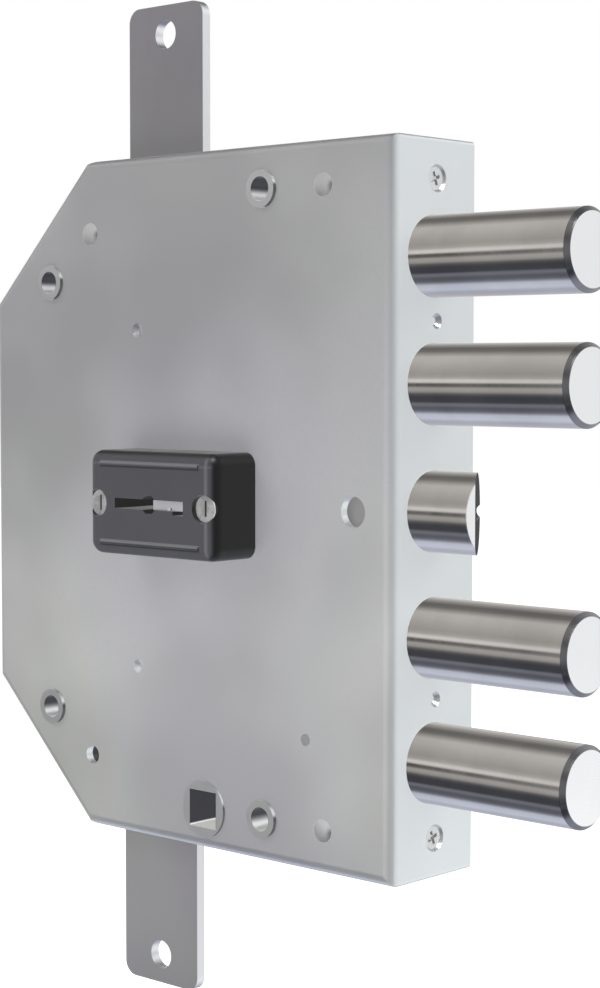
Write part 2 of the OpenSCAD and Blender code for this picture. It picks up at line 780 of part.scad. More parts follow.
module carriage_shape() {
    last = len(upper_corners) - 1;
    polygon(concat(
        [window_corner],
        upper_corners,
        [for (i = [last : -1 : 0]) [upper_corners[i][0], -upper_corners[i][1]]],
        [[window_corner[0], -window_corner[1]]]
    ));
    for (row = bolt_rows)
        translate([plate_front - 1, row * bolt_pitch - tab_half]) square([tab_end - plate_front + 1, 2 * tab_half]);
    for (i = [0 : tooth_count - 1])
        translate([tooth_x0 + i * tooth_pitch, -window_half - 1]) square([tooth_w, tooth_h + 1]);
}

module carriage_plate() {
    color(DARK_STEEL)
    slab(carriage_y0, carriage_y1)
        difference() {
            carriage_shape();
            for (side = [-1, 1]) {
                link_shape([-rod_x, side * rod_pin_z], [-rod_x + bolt_travel, side * (rod_pin_z - rod_travel)],
                    rod_slot_w);
                link_shape([guide_post_x, side * guide_post_z], [guide_post_x + bolt_travel, side * guide_post_z],
                    guide_post_d + 2 * slot_gap);
            }
            for (row = bolt_rows)
                translate([pin_x, row * bolt_pitch]) circle(d = bolt_pin_d + 2 * fit_gap);
        }
}

module lever_stump() {
    color(LIGHT_STEEL)
    translate([stump_x - stump_w / 2, carriage_y1, -stump_h / 2])
        cube([stump_w, levers_y1 + 0.3 - carriage_y1, stump_h]);
}

module round_bolt(row) {
    z = row * bolt_pitch;
    color(NICKEL)
    difference() {
        union() {
            bar_x(y_mid, z, bolt_x0, bolt_x1 - bolt_chamfer, bolt_d);
            translate([bolt_x1 - bolt_chamfer, y_mid, z])
                rotate([0, 90, 0]) cylinder(d1 = bolt_d, d2 = bolt_d - 2 * bolt_chamfer, h = bolt_chamfer);
        }
        translate([bolt_x0 - 1, y_mid - slot_t / 2, z - bolt_d]) cube([tail_slot + 1, slot_t, 2 * bolt_d]);
        bar_y([pin_x, z], y_mid - bolt_d, y_mid + bolt_d, bolt_pin_d + 2 * fit_gap);
    }
}

module bolt_cross_pins() {
    half = bolt_d / 2 - 0.6;
    color(LIGHT_STEEL)
    for (row = bolt_rows)
        bar_y([pin_x, row * bolt_pitch], y_mid - half, y_mid + half, bolt_pin_d);
}

// A rod whose outer end points up; the lower rod is turned over
module rod_shape(reach) {
    left = -rod_x - rod_w / 2;
    right = -rod_x + rod_w / 2;
    difference() {
        union() {
            translate([left, rod_inner]) square([rod_w, reach - rod_inner - rod_corner_r]);
            round_box([left, reach - 4 * rod_corner_r], [right, reach], rod_corner_r);
        }
        translate([-rod_x, reach - rod_hole_in]) circle(d = rod_hole_d);
        translate([-rod_x, rod_pin_z]) circle(d = rod_pin_d * 0.6 + 2 * fit_gap);
    }
}

module upper_rod() {
    color(DARK_STEEL) slab(upper_rod_y0, upper_rod_y1) rod_shape(rod_reach);
}

module lower_rod() {
    color(DARK_STEEL) slab(lower_rod_y0, lower_rod_y1) mirror([0, 1]) rod_shape(rod_reach_low);
}

module upper_rod_pin() {
    color(LIGHT_STEEL)
    union() {
        bar_y([-rod_x, rod_pin_z], upper_rod_y1, carriage_y1 + layer_gap, rod_pin_d);
        bar_y([-rod_x, rod_pin_z], upper_rod_y0, upper_rod_y1 + eps, rod_pin_d * 0.6);
    }
}

module lower_rod_pin() {
    color(LIGHT_STEEL)
    union() {
        bar_y([-rod_x, -rod_pin_z], lower_rod_y1, carriage_y1 + layer_gap, rod_pin_d);
        bar_y([-rod_x, -rod_pin_z], lower_rod_y0, lower_rod_y1 + eps, rod_pin_d * 0.6);
    }
}

module latch_bolt() {
    flat_y = y_mid - bolt_d / 2 + latch_flat;
    far = y_mid + bolt_d;
    drop = (far - flat_y) * tan(latch_bevel);
    color(NICKEL)
    difference() {
        bar_x(y_mid, 0, latch_x0, latch_x1, bolt_d);
        translate([0, 0, -bolt_d])
            linear_extrude(2 * bolt_d)
                polygon([[latch_x1, flat_y], [latch_x1 - drop, far], [latch_x1 + bolt_d, far], [latch_x1 + bolt_d, flat_y]]);
        translate([latch_x1, flat_y, 0])
            rotate([0, 0, 90 + latch_bevel])
                rotate([0, 90, 0])
                    translate([0, -groove_r / 2, bolt_d * 0.3])
                        cylinder(r = groove_r, h = 3 * bolt_d);
        bar_x(y_mid, 0, latch_x0 - 1, bore_end, latch_bore_d);
        bar_y([latch_pin_x, 0], y_mid - bolt_d, y_mid - latch_bore_d / 2 + 1, latch_pin_d + 2 * fit_gap);
    }
}

module latch_drive_pin() {
    color(LIGHT_STEEL)
    union() {
        bar_y([latch_pin_x, 0], y_inside + head_gap, y_inside + head_gap + pin_head_t, latch_head_d);
        bar_y([latch_pin_x, 0], y_inside + head_gap, y_mid - latch_bore_d / 2 - 0.2, latch_pin_d);
    }
}

// A round wire wound round the X axis
function ring_point(t, side) =
    let (
        turn = 360 * t,
        angle = 360 * side / 6,
        r = spring_r + latch_wire / 2 * cos(angle)
    )
    [
        seat_x + latch_wire / 2 + t * (bore_end - seat_x - latch_wire) / latch_turns + latch_wire / 2 * sin(angle),
        y_mid + r * cos(turn),
        r * sin(turn)
    ];

module latch_spring() {
    per_turn = 14;
    rings = latch_turns * per_turn;
    points = [for (i = [0 : rings]) for (s = [0 : 5]) ring_point(i / per_turn, s)];
    sides = [
        for (i = [0 : rings - 1])
            for (s = [0 : 5])
                each [
                    [6 * i + s, 6 * i + 6 + s, 6 * i + (s + 1) % 6],
                    [6 * i + (s + 1) % 6, 6 * i + 6 + s, 6 * i + 6 + (s + 1) % 6]
                ]
    ];
    caps = [[0, 1, 2, 3, 4, 5], [for (s = [5 : -1 : 0]) 6 * rings + s]];
    color(LIGHT_STEEL) polyhedron(points, concat(sides, caps));
}

module latch_lever() {
    arm_w = 10;
    boss_d = 12;
    slot_w = latch_pin_d + 2 * slot_gap;
    slot_from = reach_least - slot_w / 2 - 0.2;
    slot_to = reach_most + slot_w / 2 + 0.2;
    color(STEEL)
    slab(link_y0, link_y1)
        difference() {
            union() {
                arm_shape(pivot, pivot + arm_dir * (reach_most + 1), arm_w);
                arm_shape(pivot, tail_tip, finger_w);
                translate(pivot) circle(d = boss_d);
            }
            translate(pivot) circle(d = pivot_d + 2 * run_gap);
            translate(pivot + arm_dir * slot_from)
                rotate(atan2(arm_dir[1], arm_dir[0]))
                    translate([0, -slot_w / 2]) square([slot_to - slot_from, slot_w]);
        }
}

module handle_follower() {
    color(LIGHT_STEEL)
    difference() {
        union() {
            bar_y(hub, y_face - hub_proud, 0, hub_d);
            slab(link_y0, link_y1) arm_shape(hub, finger_tip, finger_w);
        }
        translate([hub[0], y_face / 2, hub[1]]) cube([socket, case_t * 2, socket], center = true);
    }
}

module lever_plate(i) {
    y0 = levers_y0 + i * (lever_t + lever_gap);
    rest_x = [stump_x - pocket_half, stump_x + pocket_half];
    home_x = [stump_x - bolt_travel - pocket_half, stump_x - bolt_travel + pocket_half];
    pin_slot = lever_pin_d + 2 * slot_gap;
    color(BRASS)
    slab(y0, y0 + lever_t)
        difference() {
            round_box([lever_left, lever_low], [lever_right, lever_high], 3);
            circle(r = aperture_r - lever_cuts[i]);
            translate([home_x[0], -corridor]) square([rest_x[1] - home_x[0], 2 * corridor]);
            for (span = [rest_x, home_x])
                translate([span[0], -corridor]) square([span[1] - span[0], 2 * corridor + lever_drop]);
            for (place = [lever_pin_1, lever_pin_2])
                link_shape(place, place + [0, lever_drop], pin_slot);
        }
}

case_shell();
back_plate();
back_plate_screws();
case_posts();
fixing_bushes();
bolt_guide_plate();
front_screws();
key_block();
key_block_screws();
guard_plate();
rotor_ring();
carriage_guide_posts();
lever_guide_pins();
lever_spring_comb();
latch_spring_rod();
latch_lever_stud();
key_rotor();
carriage_plate();
lever_stump();
round_bolt(bolt_rows[0]);  // bolt_1
round_bolt(bolt_rows[1]);  // bolt_2
round_bolt(bolt_rows[2]);  // bolt_3
round_bolt(bolt_rows[3]);  // bolt_4
bolt_cross_pins();
upper_rod();
upper_rod_pin();
lower_rod();
lower_rod_pin();
latch_bolt();
latch_drive_pin();
latch_spring();
latch_lever();
handle_follower();
lever_plate(0);  // lever_1
lever_plate(1);  // lever_2
lever_plate(2);  // lever_3
lever_plate(3);  // lever_4
lever_plate(4);  // lever_5
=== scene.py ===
import json
import math

import bpy
from mathutils import Matrix, Vector


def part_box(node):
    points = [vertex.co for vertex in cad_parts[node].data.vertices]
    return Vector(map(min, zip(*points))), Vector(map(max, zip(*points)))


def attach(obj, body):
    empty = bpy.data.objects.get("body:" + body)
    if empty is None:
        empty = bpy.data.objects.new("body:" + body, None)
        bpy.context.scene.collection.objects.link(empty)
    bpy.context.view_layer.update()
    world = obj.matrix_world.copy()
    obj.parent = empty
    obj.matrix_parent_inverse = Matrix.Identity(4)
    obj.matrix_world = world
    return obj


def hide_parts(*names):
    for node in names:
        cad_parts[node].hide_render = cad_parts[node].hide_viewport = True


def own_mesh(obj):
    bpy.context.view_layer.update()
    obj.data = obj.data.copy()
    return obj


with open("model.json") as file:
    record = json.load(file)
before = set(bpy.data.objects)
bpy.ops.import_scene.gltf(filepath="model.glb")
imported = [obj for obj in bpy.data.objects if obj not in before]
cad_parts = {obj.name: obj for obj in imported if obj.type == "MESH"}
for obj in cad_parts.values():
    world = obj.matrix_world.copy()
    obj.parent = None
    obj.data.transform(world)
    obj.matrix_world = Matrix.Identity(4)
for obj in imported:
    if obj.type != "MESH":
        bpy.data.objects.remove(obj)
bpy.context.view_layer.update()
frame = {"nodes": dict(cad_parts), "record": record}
NODES = frame["nodes"]
MOUNTS = {mount["name"]: mount for mount in frame["record"]["mounts"]}


# ---------------------------------------------------------------- places
# Lengths and places are in metres, in the lock's frame. X runs out along the bolts, Y from the cover to the back
# and Z up. The key turns about x = 0, z = 0.
def box(name):
    """A node's lowest and highest corners at rest, to a hundredth of a millimetre."""
    return [tuple(round(c, 5) for c in corner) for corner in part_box(name)]


def pair(name):
    """The (x, z) places of a mount's two bores, one above the other."""
    x, y, z = MOUNTS[name]["pos_m"]
    half = MOUNTS[name]["dims"]["spacing_y_mm"] / 2000
    return [(x, z + half), (x, z - half)]


Y_MID = box("case_shell")[0][1] / 2     # half the case's depth, where the bolts and the latch lie
BOLT_PITCH = 0.028
BOLT_ROWS = (2, 1, -1, -2)              # bolt_1 to bolt_4, in pitches above the latch
BOLT_END = box("bolt_1")[1][0]          # x of the bolts' faced ends
LATCH_END = box("latch_bolt")[1][0]
BUSH_PLACES = pair("front_bush_pair") + pair("rear_bush_pair")
BUSH_BORE = MOUNTS["front_bush_pair"]["dims"]["hole_r_mm"] / 1000
SOCKET_PLACE, SOCKET_HALF = MOUNTS["handle_square"]["pos_m"][::2], 0.0043      # x and z
OPEN_POST_PLACE, OPEN_POST_BORE = (-0.035, -0.0643), 0.0023
RIB_Z = 0.00925                         # the key block's ribs, above and below its middle
SCREW_X = 0.01755                       # the key block's screws, on either side of its middle


# ---------------------------------------------------------------- camera
CAMERA_PLACE = (0.357425, -0.378602, 0.031736)
CAMERA_YAW, CAMERA_PITCH, CAMERA_ROLL = 42.613, -3.409, 0.030   # degrees
CAMERA_LENS, SENSOR_WIDTH = 77.52, 36.0                         # millimetres


def add_camera():
    """The photograph's viewpoint, from a perspective fit of the lock's edges and bores."""
    yaw, pitch, roll = (math.radians(a) for a in (CAMERA_YAW, CAMERA_PITCH, CAMERA_ROLL))
    forward = Vector((-math.sin(yaw) * math.cos(pitch), math.cos(yaw) * math.cos(pitch), math.sin(pitch)))
    right = Vector((math.cos(yaw), math.sin(yaw), 0.0))
    up = right.cross(forward)
    right_rolled = right * math.cos(roll) + up * math.sin(roll)
    up_rolled = up * math.cos(roll) - right * math.sin(roll)
    data = bpy.data.cameras.new("photo_camera")
    data.sensor_width = SENSOR_WIDTH
    data.lens = CAMERA_LENS
    data.clip_start = 0.01
    cam = bpy.data.objects.new("photo_camera", data)
    axes = Matrix((right_rolled, up_rolled, -forward)).transposed()
    cam.matrix_world = Matrix.Translation(CAMERA_PLACE) @ axes.to_4x4()
    bpy.context.scene.collection.objects.link(cam)
    bpy.context.scene.camera = cam


add_camera()
bpy.context.scene.view_settings.view_transform = "Standard"


# ---------------------------------------------------------------- node helpers
def rgba(value):
    if isinstance(value, bpy.types.NodeSocket):
        return value
    if isinstance(value, (int, float)):
        return (value, value, value, 1.0)
    return (value[0], value[1], value[2], 1.0)


class Graph:
    """A short way to write a node tree."""

    def __init__(self, tree):
        self.tree = tree
        tree.nodes.clear()

    def put(self, socket, value):
        if isinstance(value, bpy.types.NodeSocket):
            self.tree.links.new(value, socket)
        else:
            socket.default_value = value

    def node(self, kind, inputs=(), **settings):
        n = self.tree.nodes.new(kind)
        for key, value in settings.items():
            setattr(n, key, value)
        for key, value in dict(inputs).items():
            self.put(n.inputs[key], value)
        return n

    def place(self):
        """Where a point is on the piece at rest."""
        return self.node("ShaderNodeTexCoord").outputs["Object"]

    def facing(self):
        """The surface's normal, as x, y and z."""
        return self.split(self.node("ShaderNodeNewGeometry").outputs["Normal"])

    def math(self, op, a, b=0.0):
        return self.node("ShaderNodeMath", {0: a, 1: b}, operation=op).outputs[0]

    def vmath(self, op, a, b):
        n = self.node("ShaderNodeVectorMath", {0: a, 1: b}, operation=op)
        return n.outputs["Value" if op == "DOT_PRODUCT" else "Vector"]

    def times(self, product, *factors):
        for factor in factors:
            product = self.math("MULTIPLY", product, factor)
        return product

    def distance(self, a, b):
        return self.math("SQRT", self.math("ADD", self.times(a, a), self.times(b, b)))

    def split(self, v):
        n = self.node("ShaderNodeSeparateXYZ", {0: v})
        return n.outputs[0], n.outputs[1], n.outputs[2]

    def join(self, x, y, z):
        return self.node("ShaderNodeCombineXYZ", {0: x, 1: y, 2: z}).outputs[0]

    def span(self, value, a, b, to_a=0.0, to_b=1.0, smooth=True):
        """Goes from to_a to to_b as value goes from a to b."""
        n = self.node("ShaderNodeMapRange", {"Value": value, "From Min": a, "From Max": b, "To Min": to_a,
                                             "To Max": to_b},
                      interpolation_type="SMOOTHSTEP" if smooth else "LINEAR", clamp=True)
        return n.outputs["Result"]

    def fall(self, value, a, b):
        """Is 1 below a and 0 above b."""
        return self.span(value, a, b, 1.0, 0.0)

    def band(self, value, a, b, c, d):
        """Rises from a to b, is 1 up to c, and falls to 0 at d."""
        return self.times(self.span(value, a, b), self.fall(value, c, d))

    def mix(self, factor, a, b, blend="MIX"):
        n = self.node("ShaderNodeMix", data_type="RGBA", blend_type=blend)
        self.put(n.inputs["Factor"], factor)
        for socket, value in ((n.inputs[6], a), (n.inputs[7], b)):
            self.put(socket, rgba(value))
        return n.outputs[2]

    def noise(self, vector, scale, detail=2.0, rough=0.5, stretch=None):
        if stretch:
            vector = self.vmath("MULTIPLY", vector, stretch)
        n = self.node("ShaderNodeTexNoise", {"Vector": vector, "Scale": scale, "Detail": detail,
                                             "Roughness": rough})
        return n.outputs["Fac"]

    def ramp(self, factor, stops):
        n = self.node("ShaderNodeValToRGB", {"Fac": factor})
        elements = n.color_ramp.elements
        while len(elements) < len(stops):
            elements.new(0.5)
        for e, (pos, value) in zip(elements, stops):
            e.position = pos
            e.color = rgba(value)
        return n.outputs["Color"]

    def bump(self, height, distance, strength, normal=None):
        inputs = {"Height": height, "Distance": distance, "Strength": strength}
        if normal is not None:
            inputs["Normal"] = normal
        return self.node("ShaderNodeBump", inputs).outputs["Normal"]


# ---------------------------------------------------------------- pieces
def new_material(name):
    mat = bpy.data.materials.new(name)
    mat.use_nodes = True
    return mat, Graph(mat.node_tree)


def add_piece(name, points, faces, material, smooth=False):
    """A mesh object that the metal doesn't mirror."""
    mesh = bpy.data.meshes.new(name)
    mesh.from_pydata(points, [], faces)
    mesh.materials.append(material)
    for face in mesh.polygons:
        face.use_smooth = smooth
    piece = bpy.data.objects.new(name, mesh)
    bpy.context.scene.collection.objects.link(piece)
    piece.visible_glossy = False
    return piece


def soften(piece, width, segments=3):
    """Rounds a piece's sharp edges a little, as tumbling and handling do."""
    mod = piece.modifiers.new("worn_edges", "BEVEL")
    mod.width = width
    mod.segments = segments
    mod.limit_method = "ANGLE"
    mod.angle_limit = math.radians(40.0)


# ---------------------------------------------------------------- studio
# What the bolts mirror: degrees up from straight in front of the cover, round the bolts' axis, and the tone there.
BANDS = [
    (-180, 0.66), (-165, 0.62), (-150, 0.58), (-126, 0.60), (-110, 0.84), (-92, 0.78), (-82, 0.26),
    (-76, 0.17), (-67, 0.15), (-60, 0.25), (-55, 0.25), (-50, 0.08), (-34, 0.08), (-26, 0.14), (-19, 0.44),
    (-10, 0.50), (-5, 0.14), (2, 0.08), (7, 0.90), (12, 0.92), (19, 0.52), (30, 0.45), (46, 0.52),
    (67, 0.62), (83, 0.66), (94, 0.44), (106, 0.22), (121, 0.18), (137, 0.36), (155, 0.60), (180, 0.72)
]
BAND_TINT_LOW, BAND_TINT_HIGH = (0.91, 0.97, 1.17), (1.02, 1.0, 0.97)   # bluer from below
TOWARDS_BOLT_ENDS = (0.70, 0.71, -0.06)     # mirrored by the front wall and the bolts' ends
TOWARDS_FOLDS = (0.70, -0.71, -0.03)        # mirrored by the case's folds and the bolts' chamfers
TOWARDS_BEVEL = (-0.44, 0.90, -0.05)        # mirrored by the latch's bevel
TOWARDS_CORNER = (0.31, -0.26, 0.92)        # mirrored by the key block's upper corner
WORLD_LIGHT = 0.60                          # strength of the even light on matt surfaces


def add_world():
    """Three worlds in one. Mirror rays see bands of light and dark, as strip lights and dark cards give in a
    studio, other rays see an even pale light, and the camera sees plain white."""
    world = bpy.data.worlds.new("studio")
    bpy.context.scene.world = world
    world.use_nodes = True
    g = Graph(world.node_tree)
    way = g.node("ShaderNodeTexCoord").outputs["Generated"]
    x, y, z = g.split(way)

    def patch(under, direction, begins, full, tone):
        """A soft round patch: begins and full are cosines of the angle from its middle."""
        near = g.vmath("DOT_PRODUCT", way, tuple(Vector(direction).normalized()))
        return g.mix(g.span(near, begins, full), under, tone)

    angle = g.math("ARCTAN2", z, g.times(y, -1.0))
    turn = g.math("ADD", g.math("DIVIDE", angle, 2 * math.pi), 0.5)
    mirrored = g.ramp(turn, [((degrees + 180) / 360, tone) for degrees, tone in BANDS])
    tint = g.mix(g.span(z, -0.55, -0.25), BAND_TINT_LOW, BAND_TINT_HIGH)
    mirrored = g.mix(1.0, mirrored, tint, "MULTIPLY")
    mirrored = patch(mirrored, TOWARDS_BOLT_ENDS, 0.35, 0.90, (1.20, 1.22, 1.25))
    mirrored = patch(mirrored, TOWARDS_BOLT_ENDS, 0.93, 0.99, (1.50, 1.52, 1.55))
    mirrored = patch(mirrored, TOWARDS_FOLDS, 0.72, 0.96, (0.30, 0.31, 0.32))
    # An even belt near the horizon, which leaves out the far left, where the bolts mirror the bands.
    belt = g.times(g.span(x, -0.64, -0.50), g.fall(g.math("ABSOLUTE", z), 0.12, 0.40))
    mirrored = g.mix(g.times(belt, 0.7), mirrored, (0.62, 0.62, 0.62))
    mirrored = patch(mirrored, TOWARDS_BEVEL, 0.972, 0.992, (0.10, 0.10, 0.105))
    mirrored = patch(mirrored, TOWARDS_CORNER, 0.95, 0.985, (16.0, 16.0, 16.2))

    path = g.node("ShaderNodeLightPath")
    glossy = g.node("ShaderNodeBackground", {"Color": mirrored, "Strength": 1.0}).outputs[0]
    even = g.node("ShaderNodeBackground", {"Color": rgba((0.90, 0.91, 0.93)), "Strength": WORLD_LIGHT}).outputs[0]
    white = g.node("ShaderNodeBackground", {"Color": rgba(1.0), "Strength": 1.0}).outputs[0]
    light = g.node("ShaderNodeMixShader", {0: path.outputs["Is Glossy Ray"], 1: even, 2: glossy}).outputs[0]
    seen = g.node("ShaderNodeMixShader", {0: path.outputs["Is Camera Ray"], 1: light, 2: white}).outputs[0]
    g.node("ShaderNodeOutputWorld", {"Surface": seen})


def add_lamp(name, place, target, size, power, colour=(1, 1, 1)):
    """A soft lamp that the metal doesn't mirror, at place, turned to target."""
    data = bpy.data.lights.new(name, "AREA")
    data.shape = "RECTANGLE"
    data.size, data.size_y = size
    data.energy = power
    data.color = colour
    lamp = bpy.data.objects.new(name, data)
    lamp.location = place
    lamp.rotation_euler = (Vector(target) - Vector(place)).to_track_quat("-Z", "Y").to_euler()
    lamp.visible_glossy = False
    bpy.context.scene.collection.objects.link(lamp)


FLOOR_Z = -0.21
FLOOR_HALF = 3.0
FLOOR_LIFT = 0.62      # glow that only the camera sees, which brings the lit floor to the world's white


def add_floor():
    mat, g = new_material("floor_pale")
    path = g.node("ShaderNodeLightPath")
    pale = g.node("ShaderNodeBsdfDiffuse", {"Color": rgba(0.86)}).outputs[0]
    lift = g.node("ShaderNodeEmission", {"Color": rgba(1.0), "Strength": FLOOR_LIFT}).outputs[0]
    lit = g.node("ShaderNodeAddShader", {0: pale, 1: lift}).outputs[0]
    seen = g.node("ShaderNodeMixShader", {0: path.outputs["Is Camera Ray"], 1: pale, 2: lit}).outputs[0]
    g.node("ShaderNodeOutputMaterial", {"Surface": seen})
    corners = [(x * FLOOR_HALF, y * FLOOR_HALF, FLOOR_Z) for x, y in ((-1, -1), (1, -1), (1, 1), (-1, 1))]
    add_piece("floor", corners, [(0, 1, 2, 3)], mat)


add_world()
add_floor()
add_lamp("soft_key", (-0.55, -0.9, 0.95), (0, 0, 0), (0.9, 0.7), 9.0)
add_lamp("soft_fill", (0.9, 0.5, 0.6), (0, 0, 0), (0.8, 0.8), 5.0)
add_lamp("low_fill", (0.02, -0.23, -0.09), (0.0, -0.03, -0.045), (0.26, 0.12), 0.30, (1.0, 1.0, 0.98))


# ---------------------------------------------------------------- materials
GRAIN = 900.0        # noise scale of the plating's grain
BRUSHED = 1500.0     # noise scale across the brush marks
# painted shade: the upper wall of bores and the lower right of rims
PAINTED_SHADE = (0.05, 0.05, 0.055)


def finish_material(g, colour, rough, normal, metallic=1.0, specular=0.5):
    b = g.node("ShaderNodeBsdfPrincipled", {"Base Color": rgba(colour), "Roughness": rough, "Normal": normal})
    b.inputs["Metallic"].default_value = metallic
    b.inputs["Specular IOR Level"].default_value = specular
    g.node("ShaderNodeOutputMaterial", {"Surface": b.outputs[0]})


def scratch_mask(g, place, scale, thin, turn):
    """Sparse fine straight marks, from stretched noise."""
    turned = g.node("ShaderNodeVectorRotate", {"Vector": place, "Angle": turn},
                    rotation_type="Y_AXIS").outputs[0]
    lines = g.noise(turned, scale, 1.0, 0.4, stretch=(0.05, 1.0, 1.0))
    where = g.noise(turned, scale * 0.07, 2.0)
    fine = g.fall(g.math("ABSOLUTE", g.math("SUBTRACT", lines, 0.5)), 0.0, thin)
    return g.times(fine, g.span(where, 0.55, 0.72))


def bored_steel(name, light, dark, rough, places, half, square=False, lit=0.96):
    """Satin steel with round bores at the given (x, z) places, half wide from the middle, or square bores with
    square. A bore's wall is painted dark above, as shade, and painted below with the tone lit, as light from
    above. The piece's rim has painted shade on its lower right."""
    mat, g = new_material(name)
    place = g.place()
    x, y, z = g.split(place)
    clouds = g.noise(place, 60.0, 3.0, 0.55)
    speck = g.noise(place, GRAIN, 2.0, 0.6)
    lines = g.noise(place, BRUSHED, 2.0, 0.6, stretch=(1.0, 1.0, 0.12))
    colour = g.mix(g.span(clouds, 0.35, 0.65), dark, light)
    colour = g.mix(g.times(g.span(speck, 0.35, 0.75), 0.12), colour, dark)
    off_bores = 1.0
    for bore_x, bore_z in places:
        dx = g.math("SUBTRACT", x, bore_x)
        dz = g.math("SUBTRACT", z, bore_z)
        if square:
            out = g.math("MAXIMUM", g.math("ABSOLUTE", dx), g.math("ABSOLUTE", dz))
            low = g.fall(dz, -0.98 * half, -0.88 * half)
        else:
            out = g.distance(dx, dz)
            low = g.fall(dz, -0.85 * half, 0.2 * half)
        off_bore = g.span(out, half + 0.00004, half + 0.00010)
        # painted shade on the bore's upper wall and painted light, the tone lit, on its lower wall
        colour = g.mix(off_bore, g.mix(low, PAINTED_SHADE, (lit, lit, lit)), colour)
        off_bores = g.times(off_bores, off_bore)
    nx, ny, nz = g.facing()
    below = g.fall(g.math("SUBTRACT", nz, g.times(nx, 0.3)), -0.15, 0.12)
    rim = g.times(g.span(nx, 0.15, 0.4), below, off_bores)
    # painted shade on the rim's lower right
    colour = g.mix(g.times(rim, 0.92), colour, PAINTED_SHADE)
    r = g.span(clouds, 0.3, 0.7, rough - 0.02, rough + 0.05)
    normal = g.bump(g.math("ADD", g.times(lines, 0.7), g.times(speck, 0.4)), 0.00002, 0.3)
    finish_material(g, colour, r, normal, metallic=0.9)
    return mat


def satin_sheet(name, light, dark, rough, grain=1.0, brush=(1.0, 1.0, 0.12), metallic=0.74, edge=None,
                fade=None):
    """Rolled, zinc-plated sheet: soft clouds, a faint film of colour, a fine grain and a few handling marks. edge
    is a painted lighter tone, as light, on faces turned to +X, and fade is a painted shade that dims the sheet
    from its bottom to its top."""
    mat, g = new_material(name)
    place = g.place()
    clouds = g.noise(place, 15.0, 2.5, 0.5)
    speck = g.noise(place, GRAIN, 2.0, 0.6)
    lines = g.noise(place, BRUSHED, 2.0, 0.6, stretch=brush)
    colour = g.mix(g.span(clouds, 0.35, 0.65), dark, light)
    colour = g.mix(g.times(g.span(speck, 0.35, 0.75), 0.10), colour, dark)
    haze = g.noise(g.vmath("ADD", place, (0.31, 0.17, 0.05)), 9.0, 2.0, 0.5)
    film = g.ramp(haze, [(0.36, (0.98, 0.97, 1.01)), (0.50, (1.0, 1.0, 1.0)), (0.62, (1.035, 1.05, 0.99))])
    colour = g.mix(1.0, colour, film, "MULTIPLY")
    marks = scratch_mask(g, place, 420.0, 0.012, 0.5)
    colour = g.mix(g.times(marks, 0.18), colour, light)
    r = g.math("ADD", g.span(clouds, 0.3, 0.7, rough - 0.03, rough + 0.04),
               g.times(g.math("SUBTRACT", lines, 0.5), 0.12))
    height = g.math("ADD", g.times(lines, 0.7), g.times(speck, 0.5))
    normal = g.bump(height, 0.00004 * grain, 0.35)
    # painted shade along the sheet's height, darkest at its top
    if fade is not None:
        level = g.span(g.split(place)[2], -0.09, 0.09, smooth=False)
        colour = g.mix(1.0, colour, g.ramp(level, fade), "MULTIPLY")
    # painted light: a lighter tone on faces turned to +X
    if edge is not None:
        colour = g.mix(g.span(g.facing()[0], 0.6, 0.9), colour, edge)
    finish_material(g, colour, r, normal, metallic=metallic)
    return mat


NICKEL = (0.64, 0.62, 0.60)
END_TONE = (0.92, 0.92, 0.92)
# painted dark reflection on the bolts' chamfers and the latch's bevel
CHAMFER_TONE = (0.22, 0.22, 0.23)
CHAMFER_OUT = 0.0080         # the bolts' chamfer begins this far from their axis
CHAMFER_LONG = 0.0011
TURNING_PITCH = 0.00035      # between the rings that the lathe left


def polished(name, rough, x_end, row, bevel=False):
    """Nickel-plated round bar, row pitches above the latch, with turning marks on its faced end. A painted dark
    reflection stands on the end's chamfer, or with bevel on the slanted face that turns to the back."""
    mat, g = new_material(name)
    place = g.place()
    x, y, z = g.split(place)
    haze = g.noise(place, 60.0, 3.0, 0.6)
    rings = g.noise(place, 1100.0, 2.0, 0.6, stretch=(1.0, 0.03, 0.03))
    specks = g.noise(place, 1800.0, 2.0, 0.6)
    tone = g.mix(g.span(haze, 0.3, 0.7), tuple(c * 0.93 for c in NICKEL), tuple(c * 1.05 for c in NICKEL))
    tone = g.mix(g.times(g.span(specks, 0.62, 0.8), 0.2), tone, tuple(c * 0.7 for c in NICKEL))
    r = g.math("ADD", g.span(haze, 0.3, 0.7, rough - 0.02, rough + 0.03),
               g.times(g.span(rings, 0.4, 0.7), 0.03))
    normal = g.bump(g.math("ADD", rings, g.times(specks, 0.3)), 0.00001, 0.25)
    out = g.distance(g.math("SUBTRACT", y, Y_MID), g.math("SUBTRACT", z, row * BOLT_PITCH))
    if bevel:
        nx, ny, nz = g.facing()
        edge = g.times(g.span(nx, 0.4, 0.6), g.span(ny, 0.2, 0.4))
    else:
        chamfer_x = x_end - CHAMFER_LONG
        edge = g.times(g.span(x, chamfer_x - 0.0001, chamfer_x + 0.0001),
                       g.span(out, CHAMFER_OUT - 0.0001, CHAMFER_OUT + 0.0001))
    face = g.span(x, x_end - 0.0004, x_end - 0.0001)
    # painted dark reflection on the chamfer or the bevel
    tone = g.mix(edge, g.mix(face, tone, END_TONE), CHAMFER_TONE)
    r = g.math("ADD", r, g.times(face, 0.12))
    turning = g.math("SINE", g.times(out, 2 * math.pi / TURNING_PITCH))
    wobble = g.noise(g.join(out, 0.0, 0.0), 2500.0, 1.0)
    normal = g.bump(g.times(face, g.math("ADD", turning, wobble)), 0.000006, 0.4, normal)
    finish_material(g, tone, r, normal)
    return mat


